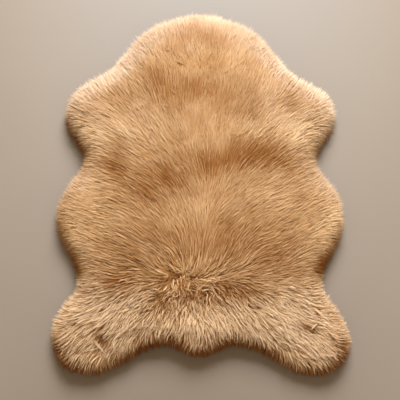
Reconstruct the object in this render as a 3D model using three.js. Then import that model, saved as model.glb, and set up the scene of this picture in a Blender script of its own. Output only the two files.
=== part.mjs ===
// Fur rug: a pelt-shaped floor rug of deep, dense pile that lies flat.
//
// The rug is one soft solid. Its flat underside is the backing, which stops
// short of the pile all round; the pile curls out over the backing's edge to
// its furthest reach a little above the floor, rounds up over the rim and runs
// on into a gently uneven top with broad swells and partings.
//
// Millimetres, +Z up. The rug lies on z = 0 with its head toward +Y, and x = y = 0
// is the middle of its overall size.

import * as THREE from 'three';
import { mergeVertices } from 'three/addons/utils/BufferGeometryUtils.js';

// ---------------------------------------------------------------- sizes, mm

const POINTS_AROUND = 204;   // points on every ring
const HEART = new THREE.Vector2(0, -60);   // the point the inner rings close on
const INNER_RINGS = 13;      // rings between the rounded rim and the heart
const HEART_RING = 0.1;      // size of the last ring, as a share of the first

// Outline of the pile's reach, clockwise from the head as seen from above: one
// row for each lobe, neck, waist and notch. heading is the outline's direction
// there in degrees from +X; pullIn and pullOut are how firmly it is held to
// that heading on the way in and on the way out.
const OUTLINE = [
  { name: 'crown of the head', x: 0, y: 447, heading: 0, pullIn: 58, pullOut: 52 },
  { name: 'brow, right', x: 155, y: 386, heading: -47, pullIn: 51, pullOut: 43 },
  { name: 'neck, right', x: 241, y: 293, heading: -29, pullIn: 37, pullOut: 74 },
  { name: 'shoulder, right', x: 332, y: 210, heading: -77, pullIn: 55, pullOut: 60 },
  { name: 'upper waist, right', x: 286, y: 86, heading: -82, pullIn: 33, pullOut: 60 },
  { name: 'flank, right', x: 353, y: -65, heading: -89, pullIn: 114, pullOut: 52 },
  { name: 'lower waist, right', x: 304, y: -189, heading: -99, pullIn: 36, pullOut: 43 },
  { name: 'thigh, right', x: 359, y: -297, heading: -70, pullIn: 32, pullOut: 32 },
  { name: 'heel, right', x: 377, y: -366, heading: -93, pullIn: 32, pullOut: 42 },
  { name: 'foot, right', x: 283, y: -449, heading: 180, pullIn: 54, pullOut: 77 },
  { name: 'notch, right', x: 90, y: -375, heading: 174, pullIn: 74, pullOut: 40 },
  { name: 'tail', x: -12, y: -402, heading: 178, pullIn: 64, pullOut: 36 },
  { name: 'notch, left', x: -93, y: -375, heading: 189, pullIn: 35, pullOut: 59 },
  { name: 'foot, left', x: -267, y: -445, heading: 180, pullIn: 64, pullOut: 73 },
  { name: 'heel, left', x: -373, y: -351, heading: 99, pullIn: 70, pullOut: 28 },
  { name: 'thigh, left', x: -350, y: -273, heading: 58, pullIn: 28, pullOut: 24 },
  { name: 'lower waist, left', x: -303, y: -192, heading: 98, pullIn: 28, pullOut: 42 },
  { name: 'flank, left', x: -354, y: -63, heading: 92, pullIn: 57, pullOut: 83 },
  { name: 'upper waist, left', x: -287, y: 90, heading: 84, pullIn: 46, pullOut: 28 },
  { name: 'shoulder, left', x: -333, y: 202, heading: 82, pullIn: 46, pullOut: 57 },
  { name: 'neck, left', x: -232, y: 306, heading: 28, pullIn: 70, pullOut: 42 },
  { name: 'brow, left', x: -151, y: 392, heading: 42, pullIn: 42, pullOut: 52 },
];

// Section through the rim: inset from the pile's furthest reach, and height.
const RIM_BELOW = [
  { name: 'edge of the backing', inset: 26, height: 0 },
  { name: 'pile curling under', inset: 9, height: 4 },
];
const RIM_ABOVE = [
  { name: 'furthest reach', inset: 0, height: 15 },
  { name: 'outer shoulder', inset: 3, height: 26 },
  { name: 'middle of the round', inset: 10, height: 36 },
  { name: 'inner shoulder', inset: 22, height: 44 },
];
const TOP_SECTION = [
  ...RIM_ABOVE,
  { name: 'end of the round', inset: 42, height: 50 },
  { name: 'standing pile', inset: 75, height: 53 },
  { name: 'middle of the rug', inset: 260, height: 55 },
];

// Broad swells (+) and partings (-) of the standing pile: centre, half-widths
// along x and y, and how far the top rises there.
const SWELLS = [
  { name: 'head', x: 0, y: 345, halfX: 110, halfY: 60, rise: 3 },
  { name: 'hollow under the head', x: -20, y: 270, halfX: 150, halfY: 28, rise: -6 },
  { name: 'shoulder, right', x: 215, y: 190, halfX: 80, halfY: 60, rise: 3 },
  { name: 'shoulder, left', x: -215, y: 190, halfX: 80, halfY: 60, rise: 2 },
  { name: 'parting, right of the back', x: 95, y: 112, halfX: 110, halfY: 26, rise: -6 },
  { name: 'parting, left of the back', x: -88, y: 72, halfX: 34, halfY: 18, rise: -7 },
  { name: 'back', x: 20, y: -30, halfX: 150, halfY: 90, rise: 3 },
  { name: 'hollow, left of the whorl', x: -165, y: -185, halfX: 80, halfY: 26, rise: -4 },
  { name: 'whorl', x: -55, y: -190, halfX: 26, halfY: 20, rise: -6 },
  { name: 'rump', x: 10, y: -295, halfX: 120, halfY: 34, rise: 3 },
  { name: 'divot, left leg', x: -238, y: -352, halfX: 20, halfY: 22, rise: -8 },
  { name: 'dent, left leg', x: -305, y: -315, halfX: 22, halfY: 14, rise: -4 },
  { name: 'divot, right leg', x: 262, y: -322, halfX: 30, halfY: 18, rise: -6 },
];

const FUR_COLOUR = new THREE.Color().setRGB(0.8, 0.62, 0.43, THREE.SRGBColorSpace);

// ---------------------------------------------------------------- outline

function headingVector(row) {
  const angle = THREE.MathUtils.degToRad(row.heading);
  return new THREE.Vector2(Math.cos(angle), Math.sin(angle));
}

function outlinePath(rows) {
  const path = new THREE.CurvePath();
  rows.forEach((from, i) => {
    const to = rows[(i + 1) % rows.length];
    const start = new THREE.Vector2(from.x, from.y);
    const end = new THREE.Vector2(to.x, to.y);
    path.add(new THREE.CubicBezierCurve(
      start,
      start.clone().addScaledVector(headingVector(from), from.pullOut),
      end.clone().addScaledVector(headingVector(to), -to.pullIn),
      end,
    ));
  });
  return path;
}

// Even points round the outline, moved so that their overall size is centred.
function centredOutline() {
  const points = outlinePath(OUTLINE).getSpacedPoints(POINTS_AROUND).slice(0, POINTS_AROUND);
  const centre = new THREE.Box2().setFromPoints(points).getCenter(new THREE.Vector2());
  points.forEach((p) => p.sub(centre));
  return { points, centre };
}

// The outline drawn in by a distance, square to itself.
function insetRing(points, inset) {
  const count = points.length;
  return points.map((p, i) => {
    const before = points[(i + count - 2) % count];
    const after = points[(i + 2) % count];
    const along = after.clone().sub(before).normalize();
    return new THREE.Vector2(p.x + along.y * inset, p.y - along.x * inset);
  });
}

function distanceToOutline(p, points) {
  let nearest = Infinity;
  const line = new THREE.Line3();
  const at = new THREE.Vector3(p.x, p.y, 0);
  const foot = new THREE.Vector3();
  points.forEach((q, i) => {
    const r = points[(i + 1) % points.length];
    line.start.set(q.x, q.y, 0);
    line.end.set(r.x, r.y, 0);
    line.closestPointToPoint(at, true, foot);
    nearest = Math.min(nearest, foot.distanceTo(at));
  });
  return nearest;
}

// ---------------------------------------------------------------- heights

function sectionHeight(inset) {
  const rows = TOP_SECTION;
  if (inset >= rows[rows.length - 1].inset) return rows[rows.length - 1].height;
  const k = rows.findIndex((row) => row.inset > inset);
  if (k <= 0) return rows[0].height;
  const [a, b] = [rows[k - 1], rows[k]];
  return THREE.MathUtils.mapLinear(inset, a.inset, b.inset, a.height, b.height);
}

function swellHeight(p, centre, inset) {
  const settle = THREE.MathUtils.smoothstep(inset, 12, 60);
  return settle * SWELLS.reduce((sum, swell) => {
    const u = (p.x + centre.x - swell.x) / swell.halfX;
    const v = (p.y + centre.y - swell.y) / swell.halfY;
    return sum + swell.rise * Math.exp(-u * u - v * v);
  }, 0);
}

// ---------------------------------------------------------------- solid

function buildRings() {
  const { points, centre } = centredOutline();
  const heart = HEART.clone().sub(centre);
  const rings = [...RIM_BELOW, ...RIM_ABOVE].map((row) => (
    insetRing(points, row.inset).map((p) => new THREE.Vector3(p.x, p.y, row.height))
  ));
  const first = rings[rings.length - 1];
  const top = (p) => {
    const inset = distanceToOutline(p, points);
    return sectionHeight(inset) + swellHeight(p, centre, inset);
  };
  for (let k = 1; k <= INNER_RINGS; k += 1) {
    const size = THREE.MathUtils.lerp(1, HEART_RING, k / INNER_RINGS);
    rings.push(first.map((q) => {
      const p = new THREE.Vector2(q.x, q.y).sub(heart).multiplyScalar(size).add(heart);
      return new THREE.Vector3(p.x, p.y, top(p));
    }));
  }
  return { rings, middle: new THREE.Vector3(heart.x, heart.y, top(heart)) };
}

// Skin over the rings, closed by the heart above and the flat backing below.
function furSolid() {
  const { rings, middle } = buildRings();
  const count = POINTS_AROUND;
  const position = [];
  const face = (a, b, c) => position.push(a.x, a.y, a.z, b.x, b.y, b.z, c.x, c.y, c.z);

  const sole = rings[0];
  THREE.ShapeUtils.triangulateShape(sole.map((p) => new THREE.Vector2(p.x, p.y)), [])
    .forEach(([a, b, c]) => {
      const turn = (sole[b].x - sole[a].x) * (sole[c].y - sole[a].y)
        - (sole[b].y - sole[a].y) * (sole[c].x - sole[a].x);
      if (turn > 0) face(sole[a], sole[c], sole[b]);
      else face(sole[a], sole[b], sole[c]);
    });

  for (let k = 0; k + 1 < rings.length; k += 1) {
    for (let i = 0; i < count; i += 1) {
      const j = (i + 1) % count;
      const [outerA, outerB, innerA, innerB] = [rings[k][i], rings[k][j], rings[k + 1][i], rings[k + 1][j]];
      face(outerA, innerB, outerB);
      face(outerA, innerA, innerB);
    }
  }
  const last = rings[rings.length - 1];
  for (let i = 0; i < count; i += 1) face(last[i], middle, last[(i + 1) % count]);

  const geometry = new THREE.BufferGeometry();
  geometry.setAttribute('position', new THREE.Float32BufferAttribute(position, 3));
  const merged = mergeVertices(geometry, 1e-3);
  merged.computeVertexNormals();
  return merged;
}

const furRug = new THREE.Mesh(
  furSolid(),
  new THREE.MeshStandardMaterial({ color: FUR_COLOUR, roughness: 0.85, metalness: 0 }),
);
furRug.name = 'fur_rug';

const rug = new THREE.Group();
rug.add(furRug);

export default rug;
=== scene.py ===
import math

import bpy
import numpy as np
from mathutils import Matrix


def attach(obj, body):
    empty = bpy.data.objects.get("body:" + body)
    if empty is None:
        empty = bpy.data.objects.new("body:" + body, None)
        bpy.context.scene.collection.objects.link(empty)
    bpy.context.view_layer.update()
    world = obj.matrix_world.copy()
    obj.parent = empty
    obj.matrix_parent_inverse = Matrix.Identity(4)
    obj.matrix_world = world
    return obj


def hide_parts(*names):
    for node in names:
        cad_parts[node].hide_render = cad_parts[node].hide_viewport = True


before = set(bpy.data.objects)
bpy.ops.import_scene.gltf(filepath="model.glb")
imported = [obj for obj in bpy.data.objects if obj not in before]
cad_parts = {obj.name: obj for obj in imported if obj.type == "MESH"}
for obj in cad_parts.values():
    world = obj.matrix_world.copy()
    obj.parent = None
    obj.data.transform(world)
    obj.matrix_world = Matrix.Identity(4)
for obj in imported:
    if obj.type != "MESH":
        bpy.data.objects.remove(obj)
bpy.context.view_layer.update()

MM = 0.001

# ------------------------------------------------------------------ outline
# The rug's outline, as in the CAD: clockwise from the head, millimetres.
# name, x, y, heading in degrees, pull on the way in, pull on the way out
OUTLINE = [
    ("crown of the head", 0, 447, 0, 58, 52),
    ("brow, right", 155, 386, -47, 51, 43),
    ("neck, right", 241, 293, -29, 37, 74),
    ("shoulder, right", 332, 210, -77, 55, 60),
    ("upper waist, right", 286, 86, -82, 33, 60),
    ("flank, right", 353, -65, -89, 114, 52),
    ("lower waist, right", 304, -189, -99, 36, 43),
    ("thigh, right", 359, -297, -70, 32, 32),
    ("heel, right", 377, -366, -93, 32, 42),
    ("foot, right", 283, -449, 180, 54, 77),
    ("notch, right", 90, -375, 174, 74, 40),
    ("tail", -12, -402, 178, 64, 36),
    ("notch, left", -93, -375, 189, 35, 59),
    ("foot, left", -267, -445, 180, 64, 73),
    ("heel, left", -373, -351, 99, 70, 28),
    ("thigh, left", -350, -273, 58, 28, 24),
    ("lower waist, left", -303, -192, 98, 28, 42),
    ("flank, left", -354, -63, 92, 57, 83),
    ("upper waist, left", -287, 90, 84, 46, 28),
    ("shoulder, left", -333, 202, 82, 46, 57),
    ("neck, left", -232, 306, 28, 70, 42),
    ("brow, left", -151, 392, 42, 42, 52),
]
HEART = np.array([0.0, -60.0])
BACKING_INSET = 24.0


def outline_points(per_row):
    rows = np.array([r[1:] for r in OUTLINE], float)
    turn = np.radians(rows[:, 2])
    along = np.stack([np.cos(turn), np.sin(turn)], 1)
    a = rows[:, :2]
    b = a + along * rows[:, 4:5]
    d = np.roll(a, -1, 0)
    c = d - np.roll(along, -1, 0) * np.roll(rows[:, 3:4], -1, 0)
    t = np.linspace(0, 1, per_row, endpoint=False)[None, :, None]
    a, b, c, d = (q[:, None, :] for q in (a, b, c, d))
    line = (1 - t) ** 3 * a + 3 * (1 - t) ** 2 * t * b + 3 * (1 - t) * t * t * c + t ** 3 * d
    return line.reshape(-1, 2)


def even_points(line, count):
    closed = np.vstack([line, line[:1]])
    run = np.concatenate([[0], np.cumsum(np.linalg.norm(np.diff(closed, axis=0), axis=1))])
    s = np.linspace(0, run[-1], count, endpoint=False)
    return np.stack([np.interp(s, run, closed[:, k]) for k in (0, 1)], 1)


LINE = even_points(outline_points(80), 1800)
CENTRE = (LINE.min(0) + LINE.max(0)) / 2          # the row frame's x = y = 0


def smooth(a, b, x):
    t = np.clip((x - a) / (b - a), 0, 1)
    return t * t * (3 - 2 * t)


# ------------------------------------------------------------------ fields
CELL = 3.0
GX = np.arange(-435, 436, CELL)
GY = np.arange(-510, 511, CELL)


def signed_distance():
    """Distance in from the outline on the grid, negative outside."""
    out = np.zeros((len(GY), len(GX)), np.float32)
    px, py = LINE[:, 0].astype(np.float32), LINE[:, 1].astype(np.float32)
    qx, qy = np.roll(px, -1), np.roll(py, -1)
    gx = GX.astype(np.float32)
    for j, y in enumerate(GY.astype(np.float32)):
        d2 = (gx[:, None] - px[None, :]) ** 2 + (y - py)[None, :] ** 2
        near = np.sqrt(d2.min(1))
        cross = (py > y) != (qy > y)
        xs = px[cross] + (y - py[cross]) / (qy[cross] - py[cross]) * (qx[cross] - px[cross])
        inside = ((xs[None, :] > gx[:, None]).sum(1) % 2) == 1
        out[j] = np.where(inside, near, -near)
    return out.astype(float)


def soften(grid, times):
    for _ in range(times):
        p = np.pad(grid, 1, mode="edge")
        grid = (p[1:-1, 1:-1] * 4 + (p[:-2, 1:-1] + p[2:, 1:-1] + p[1:-1, :-2] + p[1:-1, 2:]) * 2
                + p[:-2, :-2] + p[:-2, 2:] + p[2:, :-2] + p[2:, 2:]) / 16
    return grid


DIST = signed_distance()
SOFT = soften(DIST, 14)
DY, DX = np.gradient(SOFT, CELL)


def sample(grid, x, y):
    u = np.clip((x - GX[0]) / CELL, 0, len(GX) - 1.001)
    v = np.clip((y - GY[0]) / CELL, 0, len(GY) - 1.001)
    i, j = u.astype(int), v.astype(int)
    fu, fv = u - i, v - j
    return ((grid[j, i] * (1 - fu) + grid[j, i + 1] * fu) * (1 - fv)
            + (grid[j + 1, i] * (1 - fu) + grid[j + 1, i + 1] * fu) * fv)


def noise(x, y, cell, seed):
    rng = np.random.default_rng(seed)
    n = int(1400 / cell) + 4
    grid = rng.uniform(-1, 1, (n, n))
    u, v = (x + 700) / cell, (y + 700) / cell
    i, j = np.floor(u).astype(int), np.floor(v).astype(int)
    i, j = np.clip(i, 0, n - 2), np.clip(j, 0, n - 2)
    fu, fv = u - i, v - j
    fu, fv = fu * fu * (3 - 2 * fu), fv * fv * (3 - 2 * fv)
    return ((grid[j, i] * (1 - fu) + grid[j, i + 1] * fu) * (1 - fv)
            + (grid[j + 1, i] * (1 - fu) + grid[j + 1, i + 1] * fu) * fv)


class Field:
    """Values on an even grid, read between its points."""

    def __init__(self, grid, x0, y0, cell):
        self.grid, self.x0, self.y0, self.cell = grid, x0, y0, cell

    def at(self, x, y):
        rows, cols = self.grid.shape
        u = np.clip((x - self.x0) / self.cell, 0, cols - 1.001)
        v = np.clip((y - self.y0) / self.cell, 0, rows - 1.001)
        i, j = u.astype(int), v.astype(int)
        fu, fv = u - i, v - j
        g = self.grid
        return ((g[j, i] * (1 - fu) + g[j, i + 1] * fu) * (1 - fv)
                + (g[j + 1, i] * (1 - fu) + g[j + 1, i + 1] * fu) * fv)


# The pile is combed out from a whorl over the rump. The meridian is the line
# that parts left from right on the way up to the head and down to the tail.
WHORL_Y = -198.0
MERIDIAN = [(447, -8), (340, -10), (240, -16), (180, 26), (110, 28), (50, 18), (-10, -6), (-80, 0),
            (-150, -18), (-198, -30), (-260, -24), (-330, -8), (-402, -6)]      # y, x
# How much more the pile leans out than up, by distance above the whorl
SPREAD = [(-400, 0.62), (-15, 0.62), (40, 0.56), (91, 0.90), (141, 1.2), (191, 1.95), (240, 2.5), (290, 2.3),
          (340, 2.1), (440, 1.9), (700, 1.9)]
# Places where the pile turns about a point: x, y, reach, turn, strength
EDDIES = [
    ("whorl, left", -60, -190, 26, 0.25, 2.4),
    ("whorl, right", 14, -236, 26, -1.2, 1.5),
    ("curl under the whorl", -74, -250, 20, 1.5, 1.1),
    ("curl right of the whorl", 62, -218, 22, -0.9, 0.8),
]


def eddy_weight(x, y):
    """1 in the middle of the whorls, where the locks lie every way."""
    return np.exp(-(((x + 28) / 82) ** 2) - ((y + 224) / 36) ** 2)


def flow(x, y):
    """Unit direction in which the pile lies at x, y."""
    ys = np.array([m[0] for m in MERIDIAN][::-1], float)
    xs = np.array([m[1] for m in MERIDIAN][::-1], float)
    mid = np.interp(y, ys, xs)
    up = y - WHORL_Y
    spread = np.interp(up, [r[0] for r in SPREAD], [r[1] for r in SPREAD])
    vx, vy = (x - mid) * spread, up
    size = np.hypot(vx, vy) + 1e-6
    vx, vy = vx / size, vy / size
    for _, wx, wy, reach, turn, strength in EDDIES:
        rx, ry = x - wx, y - wy
        r = np.hypot(rx, ry) + 1e-6
        w = np.exp(-((r / reach) ** 2)) * strength
        c, s = math.cos(turn), math.sin(turn)
        vx, vy = vx + w * (rx * c - ry * s) / r, vy + w * (rx * s + ry * c) / r
    w = eddy_weight(x, y)
    near = np.exp(-(((x + 10) / 170) ** 2) - ((y + 195) / 95) ** 2)
    leg = legs(x, y)
    wide, tight = 0.20 + 0.26 * near, 0.12 + 0.14 * near + 0.12 * leg
    vx = vx + wide * noise(x, y, 58, 63) + tight * noise(x, y, 26, 65) + w * noise(x, y, 17, 61)
    vy = vy + wide * noise(x, y, 58, 64) + tight * noise(x, y, 26, 66) + w * noise(x, y, 17, 62)
    d = sample(DIST, x, y)
    w = 0.9 * (1 - smooth(2, 62, d))
    nx, ny = -sample(DX, x, y), -sample(DY, x, y)
    n = np.hypot(nx, ny) + 1e-6
    vx, vy = vx * (1 - w) + nx / n * w, vy * (1 - w) + ny / n * w
    size = np.hypot(vx, vy) + 1e-6
    return vx / size, vy / size


# Patches of the pile painted darker and paler: painted shade where it parts, lies in a hollow or rolls away from the
# light, painted highlight where it swells, along with the pelt's own darker and paler patches: x, y, half-widths, turn
# in degrees, tone.
SHADE_AND_TONE_PATCHES = [
    ("under the head", -6, 262, 110, 44, 0, -0.36),
    ("head, left", -112, 294, 44, 28, 0, -0.24),
    ("behind the left shoulder", -211, 253, 50, 18, 25, -0.17),
    ("parting, right", 130, 98, 104, 36, 5, -0.50),
    ("parting, right end", 222, 70, 36, 24, -40, -0.20),
    ("parting, low side", 14, 98, 56, 42, 0, -0.36),
    ("parting, left", -84, 48, 52, 26, -15, -0.50),
    ("hollow, left flank", -200, 78, 36, 38, 0, -0.34),
    ("belly, left", -140, 6, 48, 26, -30, -0.36),
    ("band, left", -180, -131, 42, 60, 0, -0.24),
    ("pit, left", -202, -205, 38, 24, 0, -0.62),
    ("under the pit, left", -246, -238, 46, 18, 0, -0.32),
    ("under the whorl, left", -102, -272, 40, 26, 30, -0.56),
    ("under the whorl", -24, -250, 88, 30, 0, -0.50),
    ("under the whorl, right", 86, -228, 72, 26, 0, -0.44),
    ("belly, right", 190, -150, 60, 40, 0, -0.34),
    ("loin", 60, -108, 96, 42, 0, -0.42),
    ("shoulder, left", -200, 164, 62, 38, 20, 0.40),
    ("chest, right", 100, 206, 54, 24, 0, -0.24),
    ("armpit, left", -206, 142, 34, 28, 0, -0.38),
    ("shoulder, right", 205, 158, 66, 32, -20, 0.34),
    ("shoulder, right top", 230, 225, 56, 24, -25, -0.14),
    ("shoulder, right rim", 318, 182, 20, 36, 0, 0.34),
    ("shoulder, right low", 262, 166, 60, 38, -25, 0.36),
    ("shoulder, left low", -272, 155, 36, 40, 0, 0.40),
    ("head", 4, 396, 112, 46, 0, -0.35),
    ("neck, left", -205, 296, 64, 26, 32, 0.16),
    ("neck, right", 232, 270, 60, 22, -32, -0.14),
    ("back, left", -50, 10, 84, 24, 0, -0.20),
    ("back, right", 62, -62, 76, 30, -12, -0.18),
    ("back, right top", 150, 2, 60, 30, -20, 0.16),
    ("flank, right inner", 306, -100, 44, 46, 0, 0.32),
    ("flank, left", -284, -30, 40, 56, 0, 0.26),
    ("flank, left low", -322, -112, 26, 52, 0, 0.46),
    ("flank, right", 329, -56, 26, 70, 0, 0.32),
    ("waist, left low", -306, -180, 14, 22, 0, -0.20),
    ("belly, left low", -112, -94, 30, 22, 0, -0.20),
    ("waist, left top", -300, 127, 18, 24, 0, -0.60),
    ("waist, right top", 270, 98, 22, 22, 0, 0.16),
    ("whorl, left", -112, -208, 52, 22, 0, -0.30),
    ("waist, right low", 297, -176, 20, 22, 0, -0.60),
    ("rump", 36, -312, 60, 19, 0, 0.80),
    ("tail", -20, -350, 46, 22, 0, -0.20),
    ("leg, left", -214, -300, 56, 38, 20, 0.30),
    ("thigh, left", -322, -292, 34, 42, 0, 0.24),
    ("leg, right", 208, -302, 54, 36, -20, 0.32),
    ("foot, right", 242, -415, 68, 25, 0, 0.68),
    ("foot, left", -252, -423, 52, 17, 0, 0.48),
    ("leg, right low", 130, -355, 46, 24, 0, 0.20),
    ("whorl, top", -58, -166, 36, 20, 0, 0.24),
    ("heel, right rim", 352, -374, 20, 36, 0, -0.70),
    ("heel, left rim", -357, -370, 20, 36, 0, -0.46),
]
# Small dark marks, listed as the patches: painted shade in the gash, dent and divots of the legs and in the star of the
# whorl, where the pile dips or parts
SHADED_MARKS = [
    ("gash, left leg", -241, -350, 24, 8.5, -48, -0.95),
    ("dent, left leg", -303, -315, 17, 8, -44, -0.42),
    ("divot, right leg", 258, -318, 20, 8, -28, -0.62),
    ("divot, right leg, end", 276, -328, 9, 7, -20, -0.40),
    ("star in the whorl", -62, -190, 9, 9, 0, -0.50),
]
# Single locks that lie over the rest: root, heading and bend in degrees, length, rise, tone
LAID_LOCKS = [
    ("over the gash, left leg", -260, -352, -50, 8, 44, 5, 0.60),
    ("right of the gash, left leg", -206, -330, 206, -24, 24, 6, 0.74),
    ("over the divot, right leg", 290, -310, 205, 26, 26, 6, 0.72),
]


def legs(x, y):
    """1 over the rump, tail and legs, where the pile is coarser and paler."""
    return smooth(-195, -270, y - 0.10 * np.abs(x))


# Where the streaks of the pile stand out more or less than over the legs:
# x, y, half-widths, turn in degrees, amount.
CALM = [
    ("head", -5, 375, 230, 100, 0, -0.56),
    ("chest", 0, 190, 170, 100, 0, -0.38),
    ("back", 10, 0, 160, 110, 0, -0.27),
    ("shoulder, left", -255, 170, 70, 70, 0, 0.12),
    ("shoulder, right", 250, 160, 70, 70, 0, 0.08),
    ("whorl", -20, -212, 150, 52, 0, 0.34),
    ("rump", 10, -310, 110, 40, 0, 0.10),
    ("leg, right", 240, -310, 110, 70, -20, -0.42),
    ("leg, left", -250, -330, 100, 60, 20, 0.14),
]


def bumps(table, x, y):
    total = np.zeros_like(x)
    for _, cx, cy, hx, hy, turn, amount in table:
        c, s = math.cos(math.radians(turn)), math.sin(math.radians(turn))
        u, v = (x - cx) * c + (y - cy) * s, -(x - cx) * s + (y - cy) * c
        total = total + amount * np.exp(-((u / hx) ** 2) - (v / hy) ** 2)
    return total


def clumpy(x, y):
    """1 where the pile gathers in short separate locks, 0 where it is combed out."""
    return np.clip(0.85 * np.exp(-(((x + 10) / 165) ** 2) - ((y + 232) / 62) ** 2) + 0.35 * legs(x, y), 0, 0.9)


def streaky(x, y):
    return np.clip(0.42 + 0.48 * legs(x, y) + bumps(CALM, x, y), 0.0, 1.3)


# ------------------------------------------------------------------ combing
def field_of(values):
    return Field(values, GX[0], GY[0], CELL)


FLOW_X, FLOW_Y = (field_of(v) for v in flow(*np.meshgrid(GX, GY)))
OPENING = field_of(soften(np.hypot(np.gradient(FLOW_X.grid, CELL, axis=1) + np.gradient(FLOW_Y.grid, CELL, axis=0),
                                   np.gradient(FLOW_Y.grid, CELL, axis=1) - np.gradient(FLOW_X.grid, CELL, axis=0)), 2))
FINE = 1.2
FGX = np.arange(-392, 393, FINE)
FGY = np.arange(-464, 465, FINE)


def combed(kinds):
    """Noise of an even fineness, drawn out along the pile's lie, for each seed, fineness and reach."""
    x, y = np.meshgrid(FGX, FGY)
    raws = []
    for seed, (least, most), _ in kinds:
        grid = soften(np.random.default_rng(seed).normal(size=x.shape), least)
        raws.append(Field(grid - soften(grid, most - least), FGX[0], FGY[0], FINE))
    sums = [raw.grid.copy() for raw in raws]
    step = 2.0
    for way in (1, -1):
        px, py = x, y
        for k in range(1, int(max(kind[2] for kind in kinds) / step) + 1):
            fx, fy = FLOW_X.at(px, py), FLOW_Y.at(px, py)
            px, py = px + way * step * fx, py + way * step * fy
            for i, (_, _, reach) in enumerate(kinds):
                if k * step <= reach:
                    sums[i] += (0.5 + 0.5 * math.cos(math.pi * k * step / reach)) * raws[i].at(px, py)
    return [Field(g / g.std(), FGX[0], FGY[0], FINE) for g in sums]


RIDGES, STREAKS, TUFTS = combed([(41, (1, 5), 13), (42, (1, 3), 9), (43, (2, 7), 8)])
CLUMPS = clumpy(*np.meshgrid(FGX, FGY))
RIDGES.grid = RIDGES.grid * np.sqrt(1 - CLUMPS) + TUFTS.grid * np.sqrt(CLUMPS)
CLUMPS_AT = Field(CLUMPS, FGX[0], FGY[0], FINE)
RIDGE_Y, RIDGE_X = (Field(g, FGX[0], FGY[0], FINE) for g in np.gradient(RIDGES.grid, FINE))


# ------------------------------------------------------------------ pile
def profile(d, rows):
    d0 = [r[0] for r in rows]
    return np.interp(d, d0, [r[1] for r in rows])


SKIN_RISE = [(24, 8), (28, 14), (34, 20), (44, 25), (60, 27), (90, 28), (400, 30)]  # inset, height
PILE_LENGTH = [(24, 28), (34, 38), (50, 47), (80, 55), (400, 58)]
LEAN_ROOT = [(24, 22), (28, 36), (34, 45), (44, 47), (80, 42), (400, 42)]        # degrees up
LEAN_TIP = [(24, -32), (34, -34), (50, -22), (80, -4), (120, 0), (400, 2)]
# How steeply the coat's shading rolls over by inset, on the light's side and away from it
LIT_SLOPE = [(-10, 0.70), (0, 0.62), (14, 0.50), (26, 0.38), (42, 0.26), (70, 0.12), (110, 0.0)]
FAR_SLOPE = [(-10, 3.0), (0, 2.5), (6, 1.5), (14, 0.75), (26, 0.32), (42, 0.12), (70, 0.0)]
SEGMENTS = 4
HIGHEST = 66.0

# Broad swells (+) and partings (-) of the coat: x, y, half-widths, turn, rise
SWELLS = [
    ("head", 0, 345, 110, 60, 0, 3),
    ("hollow under the head", -20, 270, 150, 28, 0, -6),
    ("shoulder, right", 215, 190, 80, 60, 0, 3),
    ("shoulder, left", -215, 190, 80, 60, 0, 2),
    ("parting, right of the back", 95, 112, 110, 26, 0, -6),
    ("parting, left of the back", -88, 72, 34, 18, 0, -7),
    ("back", 20, -30, 150, 90, 0, 3),
    ("hollow, left of the whorl", -165, -185, 80, 26, 0, -4),
    ("whorl", -55, -190, 26, 20, 0, -6),
    ("rump", 10, -295, 120, 34, 0, 3),
    ("divot, left leg", -238, -352, 20, 22, 0, -8),
    ("dent, left leg", -305, -315, 22, 14, 0, -4),
    ("divot, right leg", 262, -322, 30, 18, 0, -6),
]


def skin_height(x, y, d):
    return profile(d, SKIN_RISE) + bumps(SWELLS, x, y) * smooth(12, 60, d)


def jittered(spacing, seed, inset):
    rng = np.random.default_rng(seed)
    xs = np.arange(-400, 400, spacing)
    ys = np.arange(-470, 470, spacing * 0.866)
    x, y = np.meshgrid(xs, ys)
    x = x + (np.arange(len(ys)) % 2)[:, None] * spacing / 2
    x = x + rng.uniform(-0.42, 0.42, x.shape) * spacing
    y = y + rng.uniform(-0.42, 0.42, y.shape) * spacing
    x, y = x.ravel(), y.ravel()
    keep = sample(DIST, x, y) >= inset
    return x[keep], y[keep], rng


def grow(q):
    """Points along strands that leave their roots along the pile's lie, each drawn to the nearest ridge."""
    pts = [np.stack([q["x"], q["y"], q["z"]], 1)]
    step = q["length"] / SEGMENTS
    for k in range(SEGMENTS):
        t = (k + 0.5) / SEGMENTS
        px, py = pts[-1][:, 0], pts[-1][:, 1]
        fx, fy = FLOW_X.at(px, py), FLOW_Y.at(px, py)
        size = np.hypot(fx, fy) + 1e-6
        fx, fy = fx / size, fy / size
        a = q["swing"] + q["bend"] * t + q["wave"] * np.sin(q["phase"] + t * 5.0)
        c, s = np.cos(a), np.sin(a)
        gx, gy = fx * c - fy * s, fx * s + fy * c
        e = q["root"] + (q["tip"] - q["root"]) * t ** q["ease"]
        rx, ry = RIDGE_X.at(px, py), RIDGE_Y.at(px, py)
        along = rx * fx + ry * fy
        rx, ry = rx - along * fx, ry - along * fy
        size = np.hypot(rx, ry) + 1e-6
        draw = q["gather"] * np.tanh(size * 2.0) / size * (0.4 + 1.2 * t)
        move = np.stack([gx * np.cos(e) * step + rx * draw, gy * np.cos(e) * step + ry * draw, np.sin(e) * step], 1)
        pts.append(pts[-1] + move)
    return np.stack(pts, 1)


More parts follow.
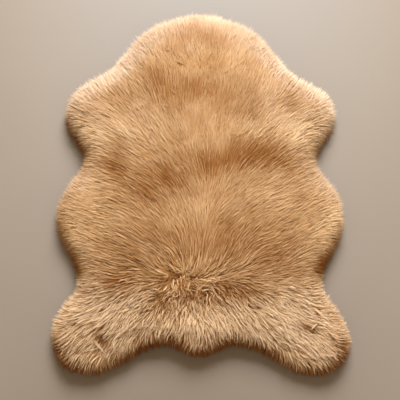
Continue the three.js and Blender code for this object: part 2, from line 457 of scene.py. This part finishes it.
def shape_numbers(x, y, seed):
    """The lock's own numbers at x, y, by region, with their scatter."""
    rng = np.random.default_rng(seed)
    n = len(x)
    d = sample(DIST, x, y)
    leg = legs(x, y)
    chaos = eddy_weight(x, y)
    calm = streaky(x, y)
    clump = clumpy(x, y)
    even = np.clip(1 - calm, 0, 1) * smooth(40, 90, d)
    rag = 0.01 + 0.05 * calm + 0.04 * leg + 0.10 * clump + 0.25 * chaos
    got = {
        "x": x, "y": y, "d": d, "leg": leg, "chaos": chaos, "calm": calm, "clump": clump,
        "z": skin_height(x, y, d) - 1.5,
        "length": (profile(d, PILE_LENGTH) * (1 - 0.10 * leg - 0.26 * chaos)
                   * (1 - 0.24 * clump) * (1 + rng.normal(0, 0.07, n) * (0.4 + 0.6 * calm) + 0.05 * noise(x, y, 26, 5))),
        "root": np.radians(profile(d, LEAN_ROOT) + rng.normal(0, 4, n) * (0.2 + 0.8 * calm) + 8 * clump + 4 * leg + 24 * even),
        "tip": np.radians(profile(d, LEAN_TIP) + rng.normal(0, 4, n) * (0.2 + 0.8 * calm) + 4 * clump + 3 * leg * smooth(30, 60, d) - 7 * even),
        "swing": rng.normal(0, 1, n) * rag + 0.10 * noise(x, y, 34, 6) * (0.5 + leg),
        "wave": 0.02 + 0.09 * calm + 0.08 * leg + 0.30 * chaos,
        "ease": 0.9 - 0.4 * even,
        "phase": rng.uniform(0, 6.283, n),
        "bend": np.zeros(n),
        "scatter": rng.normal(0, 1, n),
        "ride": rng.normal(0, 1, n) * (0.2 + 1.3 * calm) * smooth(12, 50, d),
        "gather": (0.04 + 0.62 * calm) * smooth(20, 55, d) * (1 - 0.5 * clump),
    }
    got["root"] = np.clip(got["root"], -0.9, 1.35)
    got["tip"] = np.clip(got["tip"], -0.9, 1.35)
    return got


def nearest(x, y, cx, cy):
    from mathutils import kdtree
    tree = kdtree.KDTree(len(cx))
    for i in range(len(cx)):
        tree.insert((cx[i], cy[i], 0), i)
    tree.balance()
    return np.array([tree.find((a, b, 0))[1] for a, b in zip(x, y)])


def coat():
    """Strands gather into fine locks, and these lie along the ridges of the coat."""
    t = np.linspace(0, 1, SEGMENTS + 1)
    cx, cy, _ = jittered(12.5, 11, BACKING_INSET)
    tuft = shape_numbers(cx, cy, 21)
    tuft_line = grow(tuft)

    lx, ly, _ = jittered(4.9, 12, BACKING_INSET)
    # where the pile parts from a point, short curls lie over the gap every way
    ex, ey, rng = jittered(4.2, 14, 60)
    keep = rng.uniform(0, 1, len(ex)) < smooth(0.024, 0.06, OPENING.at(ex, ey))
    curl = np.concatenate([np.zeros(len(lx)), np.ones(keep.sum())])
    lx, ly = np.concatenate([lx, ex[keep]]), np.concatenate([ly, ey[keep]])
    lock = shape_numbers(lx, ly, 22)
    lock["swing"] = lock["swing"] + curl * rng.uniform(-2.6, 2.6, len(lx))
    lock["length"] = lock["length"] * (1 - 0.38 * curl)
    lock["wave"] = lock["wave"] + 0.5 * curl
    home = nearest(lx, ly, cx, cy)
    share = (0.30 + 0.15 * lock["leg"]) * (1 - curl)
    for k in ("swing", "phase"):
        lock[k] = lock[k] + (tuft[k][home] - lock[k]) * share
    own = grow(lock)
    pull = (0.03 + 0.03 * lock["leg"] + 0.20 * lock["chaos"])[:, None] * (t ** 1.2)[None, :]
    aim = tuft_line[home] + (own[:, :1] - tuft_line[home][:, :1]) * 0.35
    lock_line = own + (aim - own) * pull[:, :, None]

    rng = np.random.default_rng(23)
    per = np.where(lock["d"] < 36, 9, np.where(clumpy(lx, ly) > 0.3, 5, 6))
    who = np.repeat(np.arange(len(lx)), per)
    m = len(who)
    r = 3.9 * np.sqrt(rng.uniform(0, 1, m))
    a = rng.uniform(0, 6.283, m)
    x, y = lx[who] + r * np.cos(a), ly[who] + r * np.sin(a)
    ds = np.maximum(sample(DIST, x, y), BACKING_INSET - 1)
    dl = np.maximum(lock["d"][who], BACKING_INSET - 1)
    stray = rng.uniform(0, 1, m) < 0.05
    jit = np.where(stray, 2.4, 1.0)
    rim = 1 - smooth(30, 60, ds)
    loose = 0.3 + 0.7 * np.clip(lock["calm"][who], 0, 1)
    low = 1 - (1 - smooth(24, 34, ds)) * rng.uniform(0, 0.9, m)     # the rim is full down to the floor
    strand = {
        "x": x, "y": y, "z": (skin_height(x, y, ds) - 1.5) * low,
        "length": lock["length"][who] * (1 + rng.normal(0, 1, m) * (0.07 + 0.06 * rim)) * profile(ds, PILE_LENGTH) / profile(dl, PILE_LENGTH),
        "root": lock["root"][who] + np.radians(profile(ds, LEAN_ROOT) - profile(dl, LEAN_ROOT)) + rng.normal(0, 0.05, m) * jit * loose,
        "tip": lock["tip"][who] + np.radians(profile(ds, LEAN_TIP) - profile(dl, LEAN_TIP)) + rng.normal(0, 0.08, m) * jit * loose,
        "swing": lock["swing"][who] + rng.normal(0, 0.06, m) * jit * (1 + 1.6 * np.clip(1 - lock["calm"][who], 0, 1)),
        "wave": lock["wave"][who], "phase": lock["phase"][who], "bend": lock["bend"][who], "ease": lock["ease"][who],
        "gather": lock["gather"][who] * rng.uniform(0.4, 1.3, m),
    }
    pts = grow(strand)
    pull = np.where(stray, 0.0, (0.10 + 0.34 * lock["calm"] + 0.34 * lock["clump"])[who] * (1 - 0.6 * rim))
    pull = pull[:, None] * (t ** 1.1)[None, :]
    shift = lock_line - own                       # what the tuft did to the lock
    offset = pts[:, :1] - lock_line[who][:, :1]
    target = lock_line[who] + offset * 0.2
    pts = pts + shift[who] * (1 - pull)[:, :, None]
    pts = pts + (target - pts) * pull[:, :, None]
    calm = lock["calm"][who]
    ridge = RIDGES.at(pts[:, 3, 0], pts[:, 3, 1])
    lift = 1.1 * calm * np.clip(ridge, -2, 2) * smooth(10, 45, ds) + np.clip(lock["ride"][who], -4, 4)
    pts[:, :, 2] += lift[:, None] * (t ** 1.4)[None, :]
    tint = 0.02 * lock["scatter"][who] + 0.02 * tuft["scatter"][home[who]]
    return pts, tint, np.ones(m), rng


def over_locks():
    """Short bent locks that lie apart over the coat about the whorl and down the legs."""
    t = np.linspace(0, 1, SEGMENTS + 1)
    lx, ly, rng = jittered(8.6, 15, 44)
    keep = rng.uniform(0, 1, len(lx)) < clumpy(lx, ly) ** 2
    lx, ly = lx[keep], ly[keep]
    lock = shape_numbers(lx, ly, 24)
    n = len(lx)
    near = clumpy(lx, ly)
    lock["z"] = lock["z"] + 8
    lock["length"] = rng.normal(34, 5, n) - 10 * smooth(0.4, 0.8, near)
    lock["swing"] = lock["swing"] + rng.normal(0, 1, n) * (0.05 + 0.20 * near)
    lock["bend"] = rng.normal(0, 1, n) * (0.12 + 0.30 * smooth(0.35, 0.8, near))
    lock["root"] = np.radians(rng.normal(46, 6, n))
    lock["tip"] = np.radians(rng.normal(-4, 7, n))
    lock["gather"] = np.zeros(n)
    line = grow(lock)
    tint = 0.03 + 0.06 * rng.normal(0, 1, n)

    laid = []                                     # the locks that are placed one by one
    for _, x, y, heading, bend, length, rise, _ in LAID_LOCKS:
        q = [np.array([x, y, skin_height(np.array([x]), np.array([y]), sample(DIST, np.array([x]), np.array([y])))[0] + 14.0])]
        for k in range(SEGMENTS):
            way = math.radians(heading + bend * (k + 0.5) / SEGMENTS)
            up = math.radians(38 - 46 * (k + 0.5) / SEGMENTS)
            step = length / SEGMENTS
            q.append(q[-1] + step * np.array([math.cos(way) * math.cos(up), math.sin(way) * math.cos(up),
                                              math.sin(up) + rise / length]))
        laid.append(q)
    line = np.concatenate([line, np.array(laid)])
    fixed = np.concatenate([np.full(n, np.nan), [row[-1] for row in LAID_LOCKS]])
    tint = np.concatenate([tint, np.zeros(len(LAID_LOCKS))])

    per = 8
    who = np.repeat(np.arange(len(line)), per)
    m = len(who)
    r, a = 3.1 * np.sqrt(rng.uniform(0, 1, m)), rng.uniform(0, 6.283, m)
    offset = np.stack([r * np.cos(a), r * np.sin(a), rng.normal(0, 0.8, m)], 1)
    close = (1 - 0.60 * t ** 1.2)[None, :, None]
    pts = line[who] + offset[:, None, :] * close
    reach = rng.uniform(0.82, 1.0, m)             # some strands stop short of the lock's tip
    whole = np.arange(SEGMENTS + 1)
    for k in (0, 1, 2):
        pts[:, :, k] = np.stack([np.interp(whole * f, whole, row) for f, row in zip(reach, pts[:, :, k])])
    return pts, tint[who], fixed[who], rng


def coloured(pts, tint, rng):
    """Tone and band of each strand, from where it shows."""
    m = len(pts)
    x, y = pts[:, 0, 0], pts[:, 0, 1]
    tip_x, tip_y = pts[:, 3, 0], pts[:, 3, 1]
    leg, calm, clump = legs(x, y), streaky(x, y), CLUMPS_AT.at(tip_x, tip_y)
    ridge, streak = RIDGES.at(tip_x, tip_y), STREAKS.at(tip_x, tip_y)
    # light falls from the head's side: the coat rolls pale up to it and dark away from it
    inx, iny = sample(DX, x, y), sample(DY, x, y)
    away = np.clip((0.06 * inx + 1.12 * iny) / (np.hypot(inx, iny) + 1e-6), -1, 1)
    dt = sample(DIST, tip_x, tip_y)
    reach = 15 + 19 * smooth(60, -60, tip_y) + 12 * smooth(-300, -345, tip_y)
    turned = np.where(away < 0, 1 - smooth(4, 58, dt), 1 - smooth(2, reach, dt)) * -away
    warp_x = tip_x + 9 * noise(tip_x, tip_y, 42, 71) + 5 * noise(tip_x, tip_y, 16, 72)
    warp_y = tip_y + 9 * noise(tip_x, tip_y, 42, 73) + 5 * noise(tip_x, tip_y, 16, 74)
    shade_and_tone = bumps(SHADE_AND_TONE_PATCHES, warp_x, warp_y)
    # The grooves between the locks are painted darker and their crests paler, more where the patches paint shade:
    # painted shade between the locks, with the strands' own streaky tone
    groove_shade = calm + 0.55 * np.clip(-shade_and_tone, 0, 0.6) * (1 - leg)
    tone = (0.495 + 0.165 * leg + shade_and_tone * 0.70
            + bumps(SHADED_MARKS, tip_x, tip_y)
            + groove_shade * smooth(-30, 26, dt) * (1 + 0.5 * noise(tip_x, tip_y, 30, 75)) * ((0.21 + 0.11 * clump) * np.clip(ridge, -2, 2)
                                                                + 0.07 * np.clip(streak, -2, 2))
            + tint
            + (0.015 + 0.075 * calm) * rng.normal(0, 1, m)
            + 0.07 * noise(warp_x, warp_y, 46, 8) + 0.05 * noise(warp_x, warp_y, 23, 10)
            # Painted shade darkens the coat where it rolls away from the light, and a painted highlight brightens the
            # head's rim
            + np.where(turned > 0, -0.02, 0.85) * turned
            + 0.09 * (1 - smooth(4, 34, dt)) * smooth(140, 240, tip_y))
    # The band turns cream along the rim that faces the light and along the head's rim, as painted highlight, and warmer
    # on the side turned away, as painted shade
    band = (leg * 3.9 + 0.8 + 1.9 * smooth(0, 200, y) + 2.0 * smooth(250, 360, y) + 1.0 * noise(x, y, 90, 9)
            + rng.normal(0, 0.5, m) + 6.0 * np.maximum(turned, 0) * smooth(-215, -120, tip_y) - 2.0 * np.maximum(-turned, 0) + 4.4 * (1 - smooth(8, 56, dt)) * smooth(100, 260, tip_y))
    return np.clip(tone, 0.03, 0.97), np.floor(np.clip(band, 0, 7.999)), calm


def make_pile():
    pts, tint, _, rng = coat()
    over, over_tint, fixed, _ = over_locks()
    coat_count = len(pts)
    pts = np.concatenate([pts, over])
    m = len(pts)
    above = np.maximum(pts[:, :, 2] - (HIGHEST - 8), 0)
    pts[:, :, 2] -= above - 8 * np.tanh(above / 8)
    pts[:, :, 2] = np.maximum(pts[:, :, 2], 0.6 + 0.8 * rng.uniform(0, 1, (m, 1)))
    tone, band, calm = coloured(pts, np.concatenate([tint, over_tint]), rng)
    set_tone = np.concatenate([np.full(coat_count, np.nan), fixed])
    tone = np.where(np.isnan(set_tone), tone, np.nan_to_num(set_tone) + 0.04 * rng.normal(0, 1, m))
    even = 1 - np.clip(calm, 0, 1)
    inset = sample(DIST, pts[:, 0, 0], pts[:, 0, 1])
    mild = np.maximum(even, 0.8 * (1 - smooth(30, 90, inset)) * smooth(-150, 60, pts[:, 0, 1]))
    width = (0.95 + 0.20 * smooth(30, 50, inset)) * (1 + rng.normal(0, 0.18, m)) * (1 + 1.1 * even * smooth(24, 60, inset))
    roll = rng.normal(0, 1, m) * (0.04 + 0.50 * (1 - mild))
    start = np.concatenate([np.zeros(coat_count), np.full(m - coat_count, 0.5)])   # an over-lock stands clear of the pile, so its foot gets no painted shade
    return pts, np.clip(tone, 0.03, 0.97), band, np.clip(width, 0.6, 2.8), roll, start, 0.58 + 0.38 * mild


# ------------------------------------------------------------------ materials
def new_material(name):
    mat = bpy.data.materials.new(name)
    mat.use_nodes = True
    nodes, links = mat.node_tree.nodes, mat.node_tree.links
    return mat, nodes, links, nodes["Principled BSDF"]


def ramp(nodes, stops):
    node = nodes.new("ShaderNodeValToRGB")
    el = node.color_ramp.elements
    while len(el) < len(stops):
        el.new(0.5)
    for e, (p, c) in zip(el, stops):
        e.position = p
        e.color = (*c, 1)
    return node


def mixer(nodes, links, fac, a, b):
    node = nodes.new("ShaderNodeMix")
    node.data_type = "RGBA"
    links.new(fac, node.inputs[0])
    links.new(a, node.inputs[6])
    links.new(b, node.inputs[7])
    return node.outputs[2]


def fur_material():
    """Colour from the strand's own coordinates: across is its tone and warmth, up is root to tip."""
    mat, nodes, links, shader = new_material("fur_strands")
    uv = nodes.new("ShaderNodeUVMap")
    uv.uv_map = "OFBake"
    split = nodes.new("ShaderNodeSeparateXYZ")
    links.new(uv.outputs[0], split.inputs[0])

    def maths(op, a, b=None):
        node = nodes.new("ShaderNodeMath")
        node.operation = op
        links.new(a, node.inputs[0])
        if b is not None:
            node.inputs[1].default_value = b
        return node.outputs[0]

    eight = maths("MULTIPLY", split.outputs[0], 8.0)
    tone = maths("FRACT", eight)
    warmth = maths("DIVIDE", maths("FLOOR", eight), 7.0)
    along = split.outputs[1]
    made = []
    # Each palette runs up the strand from a dark root to a pale tip; the dark root is painted shade deep down in the
    # pile
    for stops in (
        [(0.0, (0.24, 0.086, 0.016)), (0.3, (0.46, 0.205, 0.056)), (0.5, (0.72, 0.44, 0.185)), (0.7, (0.86, 0.60, 0.32)), (1.0, (0.92, 0.70, 0.44))],
        [(0.0, (0.25, 0.094, 0.022)), (0.3, (0.48, 0.225, 0.072)), (0.5, (0.73, 0.48, 0.245)), (0.7, (0.85, 0.64, 0.41)), (1.0, (0.91, 0.74, 0.55))],
        [(0.0, (0.40, 0.22, 0.108)), (0.3, (0.63, 0.42, 0.245)), (0.5, (0.80, 0.60, 0.400)), (0.7, (0.91, 0.73, 0.530)), (1.0, (0.96, 0.82, 0.66))],
    ):
        node = ramp(nodes, stops)
        links.new(along, node.inputs[0])
        made.append(node.outputs[0])
    golden, beige, cream = made
    # The tone ramp darkens and deepens the colour; the tone carries painted shade and painted highlight from the
    # patches, marks, grooves and rims, along with the strands' own tone
    tone_and_shade = ramp(nodes, [(0.0, (0.27, 0.12, 0.036)), (0.2, (0.39, 0.25, 0.140)), (0.42, (0.57, 0.46, 0.37)), (0.6, (0.73, 0.655, 0.60)), (0.8, (0.88, 0.85, 0.83)), (1.0, (1, 1, 1))])
    links.new(tone, tone_and_shade.inputs[0])

    def between(low, high):
        node = nodes.new("ShaderNodeMapRange")
        node.inputs["From Min"].default_value, node.inputs["From Max"].default_value = low, high
        links.new(warmth, node.inputs[0])
        return node.outputs[0]

    body = mixer(nodes, links, between(0.0, 5 / 7), golden, beige)
    toned_and_shaded = nodes.new("ShaderNodeMix")
    toned_and_shaded.data_type, toned_and_shaded.blend_type = "RGBA", "MULTIPLY"
    toned_and_shaded.inputs[0].default_value = 1.0
    links.new(mixer(nodes, links, between(5 / 7, 1.0), body, cream), toned_and_shaded.inputs[6])
    links.new(tone_and_shade.outputs[0], toned_and_shaded.inputs[7])
    links.new(toned_and_shaded.outputs[2], shader.inputs["Base Color"])
    shader.inputs["Roughness"].default_value = 0.6
    shader.inputs["Specular IOR Level"].default_value = 0.12
    return mat


def undercoat_material():
    mat, nodes, links, shader = new_material("fur_undercoat")
    coord = nodes.new("ShaderNodeTexCoord")
    fine = nodes.new("ShaderNodeTexNoise")
    fine.inputs["Scale"].default_value = 420
    fine.inputs["Detail"].default_value = 4
    links.new(coord.outputs["Object"], fine.inputs["Vector"])
    # The dark brown is painted shade: it stands for the shade deep down in the pile
    node = ramp(nodes, [(0.3, (0.15, 0.055, 0.012)), (0.7, (0.30, 0.125, 0.034))])
    links.new(fine.outputs["Fac"], node.inputs[0])
    links.new(node.outputs[0], shader.inputs["Base Color"])
    bump = nodes.new("ShaderNodeBump")
    bump.inputs["Strength"].default_value = 0.6
    bump.inputs["Distance"].default_value = 0.002
    links.new(fine.outputs["Fac"], bump.inputs["Height"])
    links.new(bump.outputs[0], shader.inputs["Normal"])
    shader.inputs["Roughness"].default_value = 0.9
    return mat


def backing_material():
    mat, nodes, links, shader = new_material("backing_felt")
    coord = nodes.new("ShaderNodeTexCoord")
    fine = nodes.new("ShaderNodeTexNoise")
    fine.inputs["Scale"].default_value = 900
    fine.inputs["Detail"].default_value = 3
    broad = nodes.new("ShaderNodeTexNoise")
    broad.inputs["Scale"].default_value = 14
    broad.inputs["Detail"].default_value = 5
    links.new(coord.outputs["Object"], fine.inputs["Vector"])
    links.new(coord.outputs["Object"], broad.inputs["Vector"])
    a = ramp(nodes, [(0.3, (0.46, 0.36, 0.25)), (0.7, (0.60, 0.49, 0.36))])
    b = ramp(nodes, [(0.3, (0.40, 0.31, 0.21)), (0.7, (0.66, 0.55, 0.42))])
    links.new(fine.outputs["Fac"], a.inputs[0])
    links.new(broad.outputs["Fac"], b.inputs[0])
    half = nodes.new("ShaderNodeMix")
    half.data_type = "RGBA"
    half.inputs[0].default_value = 0.4
    links.new(a.outputs[0], half.inputs[6])
    links.new(b.outputs[0], half.inputs[7])
    links.new(half.outputs[2], shader.inputs["Base Color"])
    bump = nodes.new("ShaderNodeBump")
    bump.inputs["Strength"].default_value = 0.4
    bump.inputs["Distance"].default_value = 0.0006
    links.new(fine.outputs["Fac"], bump.inputs["Height"])
    links.new(bump.outputs[0], shader.inputs["Normal"])
    shader.inputs["Roughness"].default_value = 0.95
    return mat


# ------------------------------------------------------------------ meshes
def put(name, verts, faces, mat, smooth_faces=True):
    me = bpy.data.meshes.new(name)
    me.from_pydata([tuple(v) for v in verts], [], faces)
    me.materials.append(mat)
    me.polygons.foreach_set("use_smooth", [smooth_faces] * len(me.polygons))
    me.update()
    ob = bpy.data.objects.new(name, me)
    bpy.context.scene.collection.objects.link(ob)
    return ob


def ring(inset, z, count=260):
    line = even_points(LINE, count)
    along = np.roll(line, -2, 0) - np.roll(line, 2, 0)
    along /= np.linalg.norm(along, axis=1)[:, None]
    inward = np.stack([along[:, 1], -along[:, 0]], 1)
    p = (line + inward * inset - CENTRE) * MM
    return np.column_stack([p, np.full(count, z * MM)])


def make_backing(mat):
    low, high = ring(BACKING_INSET, 0.3), ring(BACKING_INSET, 2.8)
    n = len(low)
    faces = [tuple(range(n)), tuple(range(2 * n - 1, n - 1, -1))]
    faces += [(i, n + i, n + (i + 1) % n, (i + 1) % n) for i in range(n)]
    return put("fur_backing", np.vstack([low, high]), faces, mat, False)


def make_undercoat(mat):
    """The dense foot of the pile, from the backing up."""
    count = 260
    rings = [ring(BACKING_INSET + 0.6, 2.4, count)]
    for inset in (25, 28, 33, 40):
        rings.append(ring(inset, profile(float(inset), SKIN_RISE), count))
    first = rings[-1][:, :2] / MM + CENTRE
    for k in range(1, 19):
        size = 1 + (0.05 - 1) * k / 18
        p = (first - HEART) * size + HEART
        z = skin_height(p[:, 0], p[:, 1], sample(DIST, p[:, 0], p[:, 1])) + 1.2 * noise(p[:, 0], p[:, 1], 9, 31)
        rings.append(np.column_stack([(p - CENTRE) * MM, z * MM]))
    verts = np.vstack(rings + [np.array([[*((HEART - CENTRE) * MM), 27 * MM]])])
    faces = [tuple(range(count))]
    for k in range(len(rings) - 1):
        a, b = k * count, (k + 1) * count
        faces += [(a + i, b + i, b + (i + 1) % count, a + (i + 1) % count) for i in range(count)]
    a, tip = (len(rings) - 1) * count, len(verts) - 1
    faces += [(a + i, tip, a + (i + 1) % count) for i in range(count)]
    return put("fur_undercoat", verts, faces, mat)


def make_strands(name, pts, tone, band, width, roll, start, even, mat):
    n, k1, _ = pts.shape
    seg = k1 - 1
    tan = np.empty_like(pts)
    tan[:, 1:-1] = pts[:, 2:] - pts[:, :-2]
    tan[:, 0], tan[:, -1] = pts[:, 1] - pts[:, 0], pts[:, -1] - pts[:, -2]
    tan /= np.linalg.norm(tan, axis=2)[:, :, None] + 1e-9
    up = np.zeros_like(tan)
    up[:, :, 2] = 1
    side = np.cross(tan, up)
    side /= np.linalg.norm(side, axis=2)[:, :, None] + 1e-6
    face = np.cross(side, tan)
    c, s = np.cos(roll)[:, None, None], np.sin(roll)[:, None, None]
    side = side * c + face * s
    t = np.linspace(0, 1, k1)
    half = (width[:, None] / 2) * (1 - 0.75 * t[None, :] ** 1.6)
    left = pts - side * half[:, :, None]
    right = pts + side * half[:, :, None]
    low = 0.4
    left[:, :, 2] = np.maximum(left[:, :, 2], low)
    right[:, :, 2] = np.maximum(right[:, :, 2], low)
    per = 2 * seg + 1
    verts = np.empty((n, per, 3))
    verts[:, 0:2 * seg:2] = left[:, :seg]
    verts[:, 1:2 * seg:2] = right[:, :seg]
    verts[:, -1] = pts[:, -1]
    verts[:, :, 0] -= CENTRE[0]
    verts[:, :, 1] -= CENTRE[1]
    verts *= MM
    quads = np.array([[2 * j, 2 * j + 1, 2 * j + 3, 2 * j + 2] for j in range(seg - 1)])
    last = np.array([2 * seg - 2, 2 * seg - 1, 2 * seg])
    corner = np.concatenate([quads.ravel(), last])
    loops = (np.arange(n)[:, None] * per + corner[None, :]).ravel()
    size = np.tile(np.array([4] * (seg - 1) + [3]), n)
    first = np.concatenate([[0], np.cumsum(size)[:-1]])
    me = bpy.data.meshes.new(name)
    me.vertices.add(n * per)
    me.vertices.foreach_set("co", verts.astype(np.float32).ravel())
    me.loops.add(len(loops))
    me.loops.foreach_set("vertex_index", loops.astype(np.int32))
    me.polygons.add(len(size))
    me.polygons.foreach_set("loop_start", first.astype(np.int32))
    me.polygons.foreach_set("use_smooth", np.ones(len(size), bool))
    u0 = (band + tone) / 8
    v = np.repeat(np.arange(seg) / seg, 2)
    vu = np.empty((n, per, 2))
    vu[:, :-1, 1] = start[:, None] + (1 - start[:, None]) * v[None, :]
    vu[:, -1, 1] = 1
    vu[:, 0:2 * seg:2, 0] = u0[:, None] - 0.0016
    vu[:, 1:2 * seg:2, 0] = u0[:, None] + 0.0016
    vu[:, -1, 0] = u0
    uv = me.uv_layers.new(name="OFBake")
    per_loop = vu.reshape(-1, 2)[loops]
    uv.data.foreach_set("uv", per_loop.astype(np.float32).ravel())
    me.materials.append(mat)
    me.update(calc_edges=True)
    # shading follows the coat's own rounding as well as each strand, most where the pile lies even
    x, y = pts[:, :, 0], pts[:, :, 1]
    inset = sample(SOFT, x, y)
    slope = np.where(sample(DY, x, y) < 0, profile(inset, LIT_SLOPE), profile(inset, FAR_SLOPE))
    coat = np.stack([-sample(DX, x, y) * slope, -sample(DY, x, y) * slope, np.ones_like(x)], 2)
    coat /= np.linalg.norm(coat, axis=2)[:, :, None]
    flat = np.cross(side, tan)
    flat *= np.where(flat[:, :, 2:3] < 0, -1, 1)
    share = even[:, None, None]
    normal = coat * share + flat * (1 - share)
    normal /= np.linalg.norm(normal, axis=2)[:, :, None]
    each = np.empty((n, per, 3))
    each[:, 0:2 * seg:2] = normal[:, :seg]
    each[:, 1:2 * seg:2] = normal[:, :seg]
    each[:, -1] = normal[:, -1]
    me.normals_split_custom_set_from_vertices(each.reshape(-1, 3).astype(np.float32))
    ob = bpy.data.objects.new(name, me)
    bpy.context.scene.collection.objects.link(ob)
    return ob


def build_rug():
    backing = make_backing(backing_material())
    undercoat = make_undercoat(undercoat_material())
    fur = fur_material()
    pts, tone, band, width, roll, start, even = make_pile()
    share = 27000
    count = len(pts)
    order = np.argsort(pts[:, 0, 1], kind="stable")
    chunks = np.array_split(order, math.ceil(count / share))
    coats = []
    for i, who in enumerate(chunks):
        coats.append(make_strands(f"fur_pile_{i + 1}", pts[who], tone[who], band[who], width[who], roll[who],
                                  start[who], even[who], fur))
    print("strands", count, "triangles", count * (2 * SEGMENTS - 1), "pieces", len(chunks))
    for ob in [backing, undercoat, *coats]:
        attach(ob, "root")
    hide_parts("fur_rug")
    return coats


# ------------------------------------------------------------------ stage
# Floor colour from the bottom of the view to the top; the change is painted falloff of the key light
FLOOR = [(0.0, (0.256, 0.215, 0.176)), (0.5, (0.322, 0.281, 0.241)), (1.0, (0.352, 0.334, 0.316))]
KEY_PLACE, KEY_SIZE, KEY_POWER, KEY_COLOUR = (0.4, 3.35, 2.1), (2.4, 1.7), 346, (1.0, 0.993, 0.99)
ROOM_COLOUR, ROOM_POWER = (1.0, 0.77, 0.52), 0.48


def add_area(name, place, aim, size, energy, colour):
    light = bpy.data.lights.new(name, "AREA")
    light.shape = "RECTANGLE"
    light.size, light.size_y = size
    light.energy = energy
    light.color = colour
    ob = bpy.data.objects.new(name, light)
    bpy.context.scene.collection.objects.link(ob)
    ob.location = place
    from mathutils import Vector
    ob.rotation_euler = (Vector(aim) - Vector(place)).to_track_quat("-Z", "Y").to_euler()
    return ob


def build_stage():
    mat, nodes, links, shader = new_material("floor_painted_falloff")
    coord = nodes.new("ShaderNodeTexCoord")
    tex = nodes.new("ShaderNodeTexNoise")
    tex.inputs["Scale"].default_value = 5
    tex.inputs["Detail"].default_value = 2
    links.new(coord.outputs["Object"], tex.inputs["Vector"])
    split = nodes.new("ShaderNodeSeparateXYZ")
    links.new(coord.outputs["Object"], split.inputs[0])
    add = nodes.new("ShaderNodeMath")
    add.operation = "MULTIPLY_ADD"
    links.new(tex.outputs["Fac"], add.inputs[0])
    add.inputs[1].default_value = 0.10
    def maths(op, a, b, c=None):
        made = nodes.new("ShaderNodeMath")
        made.operation = op
        for socket, value in zip(made.inputs, (a, b, c)):
            if isinstance(value, float):
                socket.default_value = value
            elif value is not None:
                links.new(value, socket)
        return made.outputs[0]

    # the floor is painted with the key light's falloff: paler toward the top and darker toward the bottom, with less
    # change toward the sides, and these are a little darker, the left a little more; well away from the rug the floor
    # is plain
    side, length = split.outputs[0], split.outputs[1]
    square = maths("SMOOTH_MIN", maths("MULTIPLY", side, side), 0.25, 0.08)
    fall = maths("MULTIPLY", maths("MULTIPLY_ADD", square, -3.4, 1.0), length)
    fall = maths("ADD", fall, maths("MULTIPLY_ADD", square, -0.7, 0.0))
    fall = maths("MULTIPLY_ADD", side, 0.06, fall)
    away = maths("ADD", maths("MULTIPLY", side, side), maths("MULTIPLY", length, length))
    plain = nodes.new("ShaderNodeMapRange")
    plain.interpolation_type = "SMOOTHSTEP"
    plain.inputs["From Min"].default_value = 0.5
    plain.inputs["From Max"].default_value = 2.2
    plain.inputs["To Min"].default_value = 1.0
    plain.inputs["To Max"].default_value = 0.0
    links.new(away, plain.inputs[0])
    fall = maths("MULTIPLY", fall, plain.outputs[0])
    links.new(fall, add.inputs[2])
    node = ramp(nodes, FLOOR)
    place = nodes.new("ShaderNodeMapRange")
    place.inputs["From Min"].default_value = -0.50
    place.inputs["From Max"].default_value = 0.60
    links.new(add.outputs[0], place.inputs[0])
    links.new(place.outputs[0], node.inputs[0])
    links.new(node.outputs[0], shader.inputs["Base Color"])
    shader.inputs["Roughness"].default_value = 0.85
    shader.inputs["Specular IOR Level"].default_value = 0.2
    s = 6.0
    floor = put("floor", [(-s, -s, 0), (s, -s, 0), (s, s, 0), (-s, s, 0)], [(0, 1, 2, 3)], mat)

    add_area("key", KEY_PLACE, (0, -0.1, 0), KEY_SIZE, KEY_POWER, KEY_COLOUR)
    world = bpy.data.worlds.new("room")
    world.use_nodes = True
    world.node_tree.nodes["Background"].inputs[0].default_value = (*ROOM_COLOUR, 1)
    world.node_tree.nodes["Background"].inputs[1].default_value = ROOM_POWER
    bpy.context.scene.world = world

    cam = bpy.data.cameras.new("camera")
    cam.sensor_width = 36
    height = 3.6
    cam.lens = 36 * height / 0.992
    cam.clip_end = 50
    ob = bpy.data.objects.new("camera", cam)
    ob.location = (-0.6 * MM - CENTRE[0] * MM, -7.4 * MM - CENTRE[1] * MM, height)
    bpy.context.scene.collection.objects.link(ob)
    bpy.context.scene.camera = ob
    bpy.context.scene.view_settings.view_transform = "Standard"
    bpy.context.scene.view_settings.look = "None"


build_stage()
build_rug()
